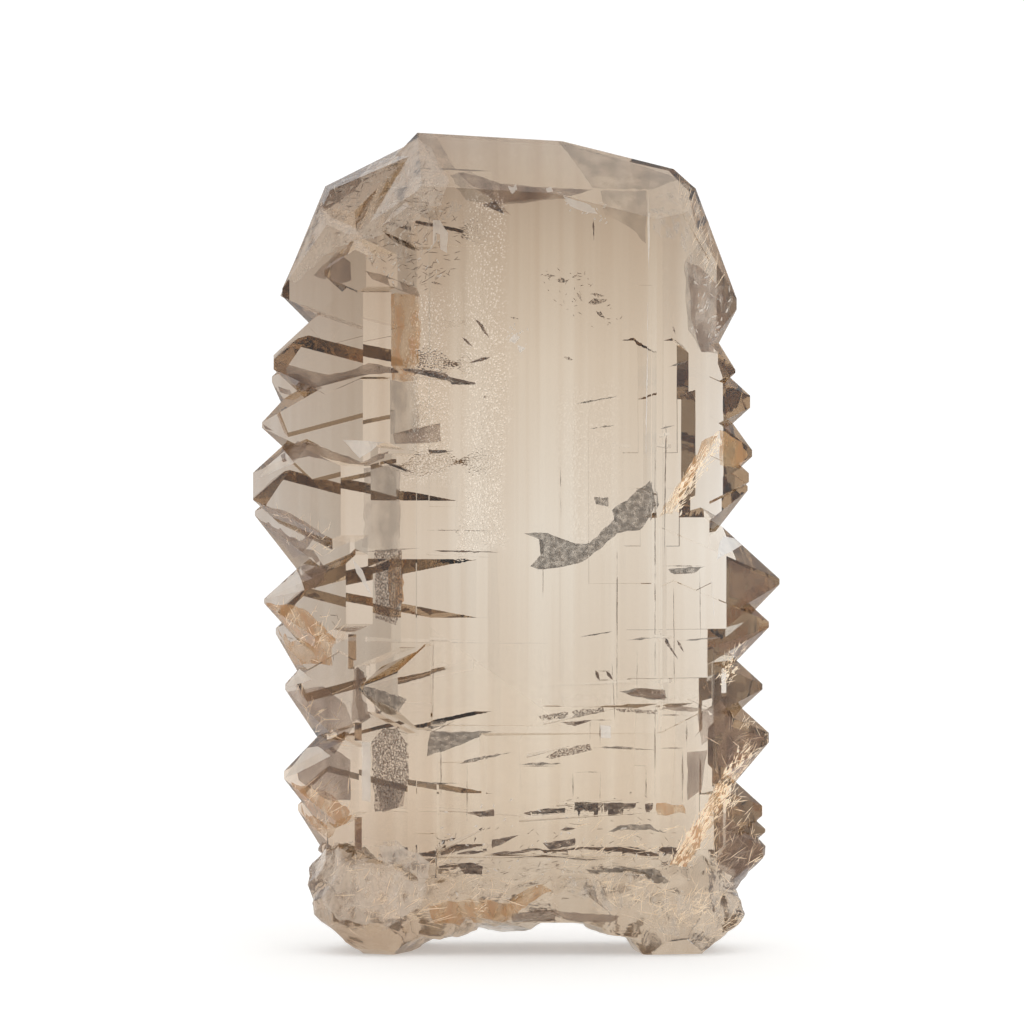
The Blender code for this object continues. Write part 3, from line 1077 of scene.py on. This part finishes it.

# Painted shade along the seams between crystals, most of them the left ones.
SEAM_SHADES = (
    (
        (274, 359), (300, 368), (330, 375), (350, 371), (369, 363), (391, 367), (391, 373), (375, 374),
        (350, 376), (330, 383), (310, 390), (290, 395), (312, 386), (300, 382), (277, 372),
    ),
    (
        (263, 424), (280, 434), (311, 445), (349, 456), (362, 462), (378, 455), (395, 449), (396, 454),
        (385, 458), (366, 466), (350, 465), (310, 456), (284, 462), (279, 450),
    ),
    ((366, 271), (380, 274), (417, 288), (420, 297), (400, 290), (372, 279)),
    ((394, 434), (402, 433), (440, 423), (441, 441), (437, 442), (396, 444)),
    ((300, 548), (314, 550), (328, 572), (316, 589), (306, 580)),
    ((357, 666), (370, 677), (358, 687), (382, 713), (361, 722), (357, 705)),
    ((639, 688), (664, 690), (664, 700), (650, 698), (626, 694)),
    ((666, 705), (706, 709), (690, 712), (662, 709)),
)

SPECKLED = (
    ((538, 716), (560, 713), (603, 707), (604, 712), (575, 717), (542, 720)),
    ((546, 757), (560, 749), (590, 744), (592, 750), (570, 755), (550, 759)),
    ((376, 550), (402, 550), (402, 600), (397, 625), (376, 618)),
    ((372, 742), (384, 728), (398, 728), (408, 744), (409, 780), (398, 808), (376, 812)),
    ((575, 803), (604, 803), (600, 818), (578, 818)),
    ((615, 708), (657, 710), (656, 714), (618, 711)),
)

FILMS = (
    ((612, 510), (630, 497), (650, 480), (656, 505), (640, 530), (617, 533)),
    (
        (524, 533), (548, 533), (570, 543), (590, 543), (612, 522), (617, 510), (617, 533), (600, 549),
        (582, 562), (565, 566), (538, 569), (530, 566), (543, 552), (543, 541),
    ),
    ((430, 732), (492, 731), (460, 745), (427, 756)),
    ((426, 730), (433, 721), (448, 720), (440, 726)),
    ((619, 691), (640, 688), (656, 690), (664, 698), (650, 699), (630, 695)),
    ((585, 867), (655, 867), (669, 880), (655, 884), (638, 874), (592, 871)),
    ((604, 833), (620, 825), (650, 824), (664, 833), (650, 829), (622, 829)),
    ((594, 497), (608, 497), (608, 506), (596, 504)),
    ((361, 685), (383, 690), (407, 699), (398, 712), (383, 712)),
    ((665, 569), (703, 566), (690, 573), (672, 574)),
    *slivers(
        (517, 764, 561, 763, 3.0), (456, 764, 511, 752, 4.0), (600, 747, 643, 748, 2.6),
        (413, 783, 463, 783, 2.0), (626, 640, 656, 637, 1.6), (576, 404, 617, 396, 1.6),
        (590, 429, 615, 425, 1.8, 0.6), (657, 429, 672, 425, 1.8), (665, 367, 686, 361, 1.8),
        (579, 637, 612, 631, 1.6), (672, 641, 718, 637, 1.8),
    ),
)

SPOTS = slivers(
    (543, 275, 556, 276, 4.0), (556, 280, 568, 281, 6.0), (574, 276, 582, 276, 3.0),
    (588, 303, 607, 300, 7.0), (590, 294, 606, 296, 4.0), (596, 311, 605, 318, 5.0),
    (577, 292, 582, 301, 3.0), (564, 357, 573, 360, 4.0), (510, 317, 519, 319, 2.6),
    (483, 398, 488, 396, 3.0), (672, 326, 675, 334, 2.4), (431, 282, 441, 284, 3.0),
    (460, 235, 468, 240, 4.0),
)

RUST = (
    ((392, 294), (418, 293), (420, 340), (416, 380), (394, 380)),
    ((656, 803), (681, 804), (684, 813), (658, 815)),
    ((494, 912), (508, 904), (530, 888), (545, 885), (552, 890), (530, 902), (512, 915)),
    ((430, 905), (470, 897), (515, 905), (515, 918), (470, 924), (435, 922)),
    ((391, 560), (402, 552), (404, 600), (392, 612)),
    ((266, 602), (305, 608), (335, 636), (335, 665), (297, 665)),
    ((292, 782), (330, 792), (352, 812), (330, 838), (308, 822)),
    ((704, 438), (716, 434), (670, 514), (657, 516)),
    ((736, 752), (748, 758), (684, 868), (668, 866)),
    ((718, 430), (740, 442), (747, 456), (734, 468), (718, 464)),
)

# Smoky zones, and painted shade along the seams of the left crystals.
SMOKE = (
    (
        (458, 174), (480, 178), (500, 185), (530, 188), (559, 190), (592, 191), (570, 198), (540, 200),
        (522, 203), (498, 204), (489, 196), (470, 186),
    ),
    ((500, 186), (530, 189), (556, 191), (548, 198), (522, 201), (499, 203)),
    ((480, 205), (498, 200), (511, 215), (496, 209)),
    ((356, 665), (367, 676), (358, 686), (383, 712), (352, 728)),
    ((315, 275), (338, 252), (352, 262), (353, 280), (338, 284)),
    ((317, 204), (330, 178), (345, 165), (372, 158), (370, 173), (355, 190), (335, 204), (324, 213)),
    ((686, 262), (700, 268), (722, 290), (733, 330), (731, 352), (700, 352), (690, 320)),
    ((728, 560), (776, 582), (756, 604), (728, 596)),
    ((718, 644), (764, 628), (745, 655), (718, 654)),
    ((716, 722), (764, 737), (738, 772), (716, 765)),
    ((716, 806), (762, 848), (740, 880), (716, 868)),
    ((290, 306), (323, 314), (307, 323)),
    ((302, 567), (315, 564), (328, 580), (307, 591)),
    ((511, 913), (545, 909), (619, 915), (612, 921), (560, 920), (512, 921)),
    ((377, 784), (407, 782), (405, 806), (384, 812)),
    ((274, 374), (299, 374), (324, 388), (296, 397), (281, 392)),
    ((279, 441), (308, 446), (296, 461), (284, 459)),
    ((287, 692), (325, 686), (347, 705), (355, 725), (336, 754), (315, 735)),
    ((256, 502), (292, 513), (322, 531), (306, 550), (285, 565), (268, 545)),
    ((292, 748), (330, 744), (352, 760), (352, 800), (330, 800), (300, 780)),
    ((696, 714), (720, 700), (732, 724), (700, 745)),
    ((686, 752), (706, 750), (700, 790), (686, 800)),
)

# Painted shade of the low steps of the wide face: their ends and how wide the line looks, in pixels.
STEP_SHADES = tuple(
    sliver((x, y), (to_x, to_y), width, 0.5)
    for x, y, to_x, to_y, width in (
        (655, 430, 655, 690, 1.4), (655, 700, 655, 800, 1.4), (617, 540, 617, 705, 1.2),
        (596, 671, 612, 671, 1.2), (596, 671, 596, 680, 1.2), (612, 671, 612, 680, 1.2),
        (596, 680, 612, 680, 1.2), (590, 720, 613, 720, 1.4), (590, 720, 590, 741, 1.4),
        (600, 722, 600, 747, 1.2), (592, 747, 657, 750, 1.6), (659, 748, 683, 748, 1.8),
        (573, 772, 573, 800, 1.4), (600, 772, 600, 800, 1.4), (646, 766, 646, 800, 1.4),
        (633, 765, 647, 766, 1.6), (573, 772, 600, 772, 1.2), (612, 663, 615, 720, 1.6),
        (659, 715, 686, 715, 1.8), (686, 715, 686, 747, 2.0), (682, 750, 682, 802, 2.0),
        (713, 647, 713, 710, 2.0), (659, 566, 703, 566, 1.8), (672, 574, 690, 573, 1.6),
        (420, 530, 500, 531, 1.2), (362, 552, 420, 548, 1.6), (433, 640, 433, 718, 1.4),
        (441, 735, 441, 800, 1.4), (467, 762, 467, 822, 1.2), (543, 560, 543, 600, 1.2),
        (560, 440, 561, 520, 1.0), (560, 766, 520, 766, 1.4), (456, 720, 430, 733, 1.6),
        (637, 650, 637, 690, 1.2), (673, 588, 674, 700, 1.0), (699, 570, 700, 640, 1.0),
        (665, 425, 664, 560, 1.2),
    )
)

VEILS = (
    (
        (287, 280), (300, 240), (316, 208), (345, 196), (372, 164), (400, 143), (418, 139), (432, 150),
        (449, 182), (440, 205), (405, 226), (372, 238), (336, 247), (318, 262), (295, 283),
    ),
    ((400, 146), (416, 140), (448, 180), (430, 204), (410, 190)),
    ((315, 862), (345, 847), (400, 845), (430, 862), (422, 905), (390, 926), (340, 920), (318, 895)),
    ((330, 870), (380, 856), (410, 880), (380, 910), (340, 905)),
)

HAZES = (
    ((556, 141), (600, 146), (640, 152), (690, 172), (685, 180), (650, 192), (592, 190), (575, 165)),
    ((600, 193), (646, 193), (646, 243), (628, 226), (605, 215)),
    ((682, 262), (700, 240), (724, 290), (735, 330), (733, 356), (700, 352), (686, 330)),
    ((450, 178), (470, 174), (492, 186), (496, 203), (466, 200)),
    ((410, 128), (430, 131), (456, 172), (440, 172)),
    ((391, 380), (418, 382), (420, 432), (393, 434)),
    ((418, 205), (440, 203), (437, 222), (420, 216)),
    ((364, 468), (400, 464), (400, 552), (364, 547)),
)

MILK = (
    ((708, 292), (725, 285), (733, 300), (728, 322), (714, 340), (700, 330)),
    ((646, 212), (662, 205), (678, 222), (680, 240), (660, 238)),
    ((655, 200), (690, 180), (712, 240), (690, 262)),
    ((684, 262), (704, 250), (712, 300), (690, 340)),
    ((420, 208), (445, 196), (462, 206), (440, 222)),
    ((302, 225), (330, 175), (400, 150), (440, 178), (440, 202), (385, 230), (345, 255), (305, 262)),
    ((330, 215), (400, 190), (432, 215), (420, 262), (370, 262)),
    ((308, 880), (330, 862), (352, 880), (360, 925), (330, 922)),
    ((330, 188), (365, 166), (385, 168), (360, 190), (334, 205)),
    ((318, 850), (360, 838), (420, 846), (430, 900), (380, 930), (330, 915)),
    ((650, 900), (720, 890), (738, 910), (700, 940), (660, 930)),
    ((560, 882), (640, 872), (655, 900), (600, 912)),
)

# Painted glints: bright patches that glow where small flats catch the light.
PAINTED_GLINTS = (
    ((433, 220), (440, 220), (448, 233), (447, 253), (433, 246)),
    ((509, 340), (514, 334), (520, 337), (515, 344)),
    ((517, 345), (526, 348), (520, 353)),
    ((563, 196), (590, 205), (598, 214), (585, 212), (570, 206)),
    *slivers((648, 195, 649, 272, 1.8)),
    ((508, 186), (513, 188), (516, 184), (517, 190), (512, 194), (509, 190)),
    ((546, 189), (551, 187), (553, 192), (547, 193)),
    *slivers((646, 455, 648, 300, 1.2)),
    ((279, 446), (295, 463), (259, 478), (253, 471)),
    ((297, 568), (305, 590), (265, 599)),
    ((298, 668), (312, 679), (286, 688)),
    ((312, 742), (331, 756), (296, 774), (285, 777)),
    ((344, 440), (384, 442), (360, 458)),
    ((720, 541), (728, 532), (742, 545), (716, 560)),
    *slivers((711, 575, 714, 618, 2.0), (352, 558, 372, 596, 7.0)),
    ((362, 742), (371, 742), (371, 802), (362, 800)),
    ((600, 725), (611, 726), (611, 738), (601, 738)),
)

# Painted shade of the etched hairlines of the rough upper left facet, and a few on the wide face.
GROOVE_SHADES = (
    Thicket(
        ((300, 195), (400, 150), (440, 185), (440, 290), (390, 285), (330, 230)),
        28.0, 12.0, 260, 45.0, 0.5,
    ),
    Thicket(((400, 200), (440, 190), (470, 230), (440, 300), (400, 280)), 10.0, 12.0, 70, 30.0, 0.5),
    Thicket(((535, 265), (585, 270), (620, 320), (590, 330), (550, 300)), 0.0, 6.0, 46, 60.0, 0.4),
    Thicket(((380, 128), (410, 130), (330, 200), (310, 205)), 40.0, 12.0, 50, 20.0, 0.4),
    Thicket(((560, 795), (655, 790), (650, 830), (560, 830)), 0.0, 9.0, 40, 20.0, 0.4),
    Thicket(((430, 830), (560, 825), (560, 900), (430, 900)), 12.0, 10.0, 60, 35.0, 0.4),
    Thicket(((560, 830), (680, 830), (680, 900), (560, 900)), -10.0, 10.0, 50, 35.0, 0.4),
    Thicket(((280, 640), (340, 600), (345, 650), (310, 665)), -40.0, 10.0, 20, 40.0, 0.4),
)

# Flakes of the same cracks, short and wide, along the right side, with a painted glow for the light
# they catch.
FLAKE_GLINTS = (
    Thicket(((712, 432), (722, 444), (676, 520), (660, 512)), 58.0, 9.0, 46, 16.0, 0.8),
    Thicket(((738, 748), (750, 756), (682, 872), (664, 868)), 56.0, 12.0, 170, 16.0, 0.6),
    Thicket(((738, 642), (748, 652), (722, 690), (714, 676)), 52.0, 8.0, 24, 40.0, 0.8),
)

# Painted glints: white flecks that glow, on the rough upper left facet, below the roof and in the
# foot.
GLINT_FLECKS = (
    Thicket(((560, 815), (700, 840), (690, 900), (560, 890)), 30.0, 6.0, 40, 60.0, 0.8),
    Thicket(((310, 850), (400, 850), (430, 910), (330, 920)), 60.0, 7.0, 40, 60.0, 0.8),
    Thicket(((505, 320), (530, 330), (525, 358), (505, 350)), 40.0, 4.0, 16, 80.0, 0.4),
    Thicket(((560, 190), (610, 205), (610, 222), (560, 212)), 170.0, 7.0, 24, 50.0, 0.5),
    Thicket(((690, 330), (700, 250), (735, 300), (730, 350)), 70.0, 9.0, 40, 30.0, 0.5),
    Thicket(
        ((300, 195), (400, 150), (440, 185), (440, 290), (390, 285), (330, 230)),
        28.0, 7.0, 130, 55.0, 0.4,
    ),
    Thicket(((430, 800), (540, 800), (560, 900), (430, 900)), 20.0, 6.0, 40, 40.0, 0.4),
)

# Golden threads of healed cracks, bright with their kind's painted glow.
THICKETS = (
    Thicket(((708, 438), (716, 446), (672, 520), (656, 515)), 58.0, 18.0, 150, 12.0, 1.2),
    Thicket(((740, 745), (756, 752), (690, 870), (660, 872)), 56.0, 20.0, 170, 14.0, 1.4),
    Thicket(((735, 645), (747, 650), (725, 690), (712, 680)), 52.0, 14.0, 60, 30.0, 1.2),
    Thicket(((715, 735), (752, 715), (765, 740), (742, 775), (724, 790)), 40.0, 24.0, 60, 40.0),
    Thicket(((715, 800), (757, 795), (764, 840), (745, 880), (700, 885)), 48.0, 30.0, 110, 40.0),
    Thicket(((690, 890), (735, 895), (742, 912), (700, 945), (650, 920)), 35.0, 30.0, 90, 40.0),
    Thicket(((585, 880), (660, 880), (690, 930), (620, 915)), 30.0, 30.0, 60, 40.0, 1.6),
    Thicket(((312, 860), (350, 850), (400, 870), (400, 925), (345, 925)), 60.0, 30.0, 90, 40.0),
    Thicket(((400, 860), (470, 870), (530, 890), (470, 920), (400, 925)), 25.0, 34.0, 90, 30.0),
    Thicket(((270, 602), (330, 615), (350, 660), (310, 665)), 60.0, 22.0, 50, 40.0),
    Thicket(((292, 690), (345, 712), (340, 745), (315, 735)), 40.0, 22.0, 40, 40.0),
    Thicket(((292, 780), (350, 790), (360, 830), (320, 840)), 45.0, 24.0, 60, 40.0),
    Thicket(((262, 505), (330, 530), (330, 560), (285, 545)), 50.0, 20.0, 35, 40.0),
    Thicket(((560, 820), (660, 825), (660, 870), (560, 870)), 18.0, 26.0, 50, 30.0),
    Thicket(((665, 150), (680, 170), (725, 290), (700, 300)), 66.0, 40.0, 60, 12.0, 1.6),
)


@dataclass
class Studio:
    """A pale floor and soft light whose brightness changes a little around the piece."""

    floor_radius: float = 0.5
    # Where the floor starts to fade and where it is gone, as shares of its radius.
    floor_fade: tuple[float, float] = (0.3, 0.95)
    floor_glow: float = 0.3
    backdrop: float = 1.06
    above: float = 0.9
    brightest: float = 1.4
    # Brightness at each heading in degrees, 0 straight behind the piece and 90 at its right.
    surround: tuple[tuple[float, float], ...] = (
        (-180.0, 0.7),
        (-120.0, 0.62),
        (-75.0, 0.82),
        (-40.0, 1.05),
        (0.0, 1.07),
        (15.0, 0.98),
        (32.0, 0.78),
        (60.0, 0.76),
        (100.0, 1.1),
        (150.0, 1.2),
        (180.0, 0.7),
    )

    def light(self) -> None:
        """Builds the soft surround, whose brightness changes with the direction."""
        world = bpy.data.worlds.new("studio")
        world.use_nodes = True
        tree = world.node_tree
        tree.nodes.clear()
        place = add_node(tree, "TexCoord")
        axes = add_node(tree, "SeparateXYZ", Vector=place.outputs["Generated"])
        heading = combine(tree, "ARCTAN2", axes.outputs["X"], axes.outputs["Y"])
        turn = combine(tree, "MULTIPLY_ADD", heading, 0.5 / math.pi, 0.5)
        levels = add_node(tree, "ValToRGB", Fac=turn)
        stops = levels.color_ramp.elements
        while len(stops) < len(self.surround):
            stops.new(0.5)
        for stop, (angle, level) in zip(stops, self.surround):
            stop.position = (angle + 180.0) / 360.0
            stop.color = (level / self.brightest,) * 3 + (1.0,)
        high = spread(tree, axes.outputs["Z"], 0.3, 0.9)
        sky = add_node(
            tree, "Mix", {"data_type": "RGBA"},
            i0=high, i6=levels.outputs["Color"], i7=(self.above / self.brightest,) * 3 + (1.0,),
        )
        rays = add_node(tree, "LightPath")
        seen = add_node(
            tree, "Mix", {"data_type": "RGBA"}, i0=rays.outputs["Is Camera Ray"],
            i6=sky.outputs[2], i7=(self.backdrop / self.brightest,) * 3 + (1.0,),
        )
        surround = add_node(tree, "Background", Color=seen.outputs[2], Strength=self.brightest)
        add_node(tree, "OutputWorld", Surface=surround.outputs["Background"])
        bpy.context.scene.world = world

    def floor(self) -> Any:
        """Lays the pale floor, a disc that fades into the backdrop.

        Returns:
            The floor's object.
        """
        material, tree = new_tree("pale_floor")
        shader = add_node(
            tree, "BsdfPrincipled", Base_Color=linear("f4f3f1"), Roughness=0.9,
            Emission_Color=linear("ffffff"), Emission_Strength=self.floor_glow,
        )
        place = add_node(tree, "TexCoord")
        distance = add_node(
            tree, "VectorMath", {"operation": "LENGTH"}, i0=place.outputs["Object"]
        )
        near, far = (share * self.floor_radius for share in self.floor_fade)
        fade = spread(tree, distance.outputs["Value"], near, far)
        clear = add_node(tree, "BsdfTransparent")
        mixed = add_node(
            tree, "MixShader", i0=fade, i1=shader.outputs["BSDF"], i2=clear.outputs["BSDF"]
        )
        add_node(tree, "OutputMaterial", Surface=mixed.outputs["Shader"])
        bpy.ops.mesh.primitive_circle_add(vertices=64, radius=self.floor_radius, fill_type="NGON")
        floor = bpy.context.object
        floor.name = "floor"
        floor.data.materials.append(material)
        return floor

    def build(self) -> None:
        """Builds the whole studio."""
        self.light()
        self.floor()
        scene = bpy.context.scene
        scene.view_settings.view_transform = "Standard"
        scene.cycles.max_bounces = 12
        scene.cycles.transmission_bounces = 12
        scene.cycles.transparent_max_bounces = 10
        scene.cycles.glossy_bounces = 6
        scene.cycles.use_adaptive_sampling = True
        scene.cycles.adaptive_threshold = 0.12
        scene.cycles.diffuse_bounces = 2
        scene.cycles.use_denoising = True


def main() -> None:
    """Builds the crystal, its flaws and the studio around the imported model."""
    logging.basicConfig(level=logging.INFO, format="%(name)s: %(message)s")
    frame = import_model()
    bpy.ops.object.select_all(action="DESELECT")
    view = View()
    view.place_camera()
    Studio().build()

    crystal = Crystal().build(frame["nodes"][NODE])
    crystal.data.materials.clear()
    crystal.data.materials.append(SmokyQuartz().build())
    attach(crystal, "root")
    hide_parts(NODE)
    log.info("crystal: %d faces", len(crystal.data.polygons))

    surface = Surface(crystal, view)
    pieces = (
        Flaws("clefts", Inside.CLEFT, CLEFTS, 0.35, 4.0, 0.6, seed=2),
        Flaws("painted_seam_shades", Inside.WEDGE, SEAM_SHADES, 0.4, 6.0, 0.5, seed=12),
        Flaws("speckled_films", Inside.SPECKLE, SPECKLED, 0.4, 4.0, 0.9, seed=3),
        Flaws("air_films", Inside.FILM, FILMS, 1.2, 5.0, 0.9, seed=4),
        Flaws("clay_spots", Inside.SPECKLE, SPOTS, 0.3, 3.0, 1.1, seed=5),
        Flaws("rust_stains", Inside.RUST, RUST, 0.8, 6.0, 1.6, seed=6),
        Flaws("smoky_zones_and_seam_shade", Inside.SMOKE, SMOKE, 0.6, 6.0, 0.6, seed=7),
        Flaws("grey_zones", Inside.HAZE, HAZES, 0.9, 6.0, 1.0, seed=13),
        Flaws("milky_cracks", Inside.MILK, MILK, 0.5, 6.0, 2.4, seed=8),
        Flaws("pale_breaks", Inside.VEIL, VEILS, 0.25, 5.0, 1.6, seed=15),
        Flaws("painted_glint_patches", Inside.GLINT, PAINTED_GLINTS, 0.2, 8.0, 0.5, seed=9),
        Threads("golden_threads", THICKETS),
        Threads("golden_flake_glints", FLAKE_GLINTS, width=0.11 * MM, seed=6),
        Threads("painted_glint_flecks", GLINT_FLECKS, Inside.GLINT, 0.09 * MM, seed=10),
        Threads("painted_groove_lines", GROOVE_SHADES, Inside.HAIR, 0.03 * MM, seed=7),
        Flaws("painted_step_shades", Inside.STEP, STEP_SHADES, 0.25, 9.0, 0.25, seed=14),
    )
    for maker in pieces:
        piece = maker.build(surface)
        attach(piece, "root")
        log.info("%s: %d faces", piece.name, len(piece.data.polygons))


if __name__ == "__main__":
    main()
